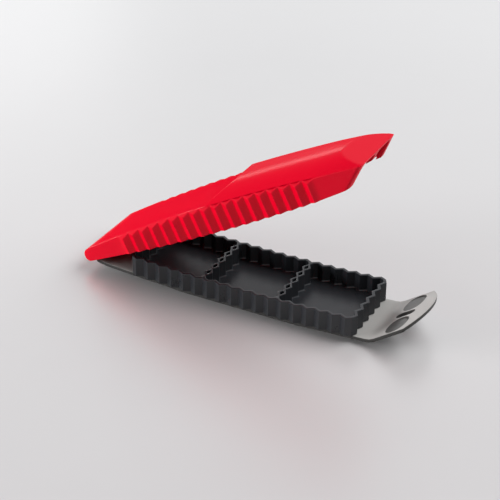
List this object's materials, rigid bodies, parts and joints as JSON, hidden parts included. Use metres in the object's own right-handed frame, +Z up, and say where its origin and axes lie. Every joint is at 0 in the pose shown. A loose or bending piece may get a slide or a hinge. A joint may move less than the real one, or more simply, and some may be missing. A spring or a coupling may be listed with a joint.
{
  "type": "ravioli maker",
  "caption": "Hand-pressed hinged ravioli maker: a rocker-shaped tray with toothed square cutting cells and a fluted lid that swings down over them, held by a raised grip.",
  "frame": {"origin": "on the table under the middle of the three cells, at the flat stretch of the tray's underside", "axes": "+X along the tray towards the tongue, +Y to the rear, +Z up"},
  "size_m": [0.214, 0.0562, 0.1117],
  "materials": {
    "red_plastic": "satin gloss red",
    "anthracite_plastic": "satin anthracite",
    "grey_plastic": "satin mid grey",
    "steel": "plain steel"
  },
  "bodies": {
    "tray": {"base_tray": "grey_plastic", "cutter_frame": "anthracite_plastic", "hinge_pin": "steel", "tray_screw_front_left": "steel", "tray_screw_front_right": "steel", "tray_screw_rear_left": "steel", "tray_screw_rear_right": "steel"},
    "lid": {"lid_shell": "red_plastic", "grip_shell": "red_plastic", "press_frame": "red_plastic", "lid_screw_front_left": "steel", "lid_screw_front_right": "steel", "lid_screw_rear_left": "steel", "lid_screw_rear_right": "steel"}
  },
  "joints": [
    {"name": "lid_hinge", "type": "hinge", "parent": "tray", "child": "lid", "pos_m": [-0.091, 0, 0.0093], "axis": [0, -1, 0], "range_deg": [-28.7, 35.3]}
  ]
}
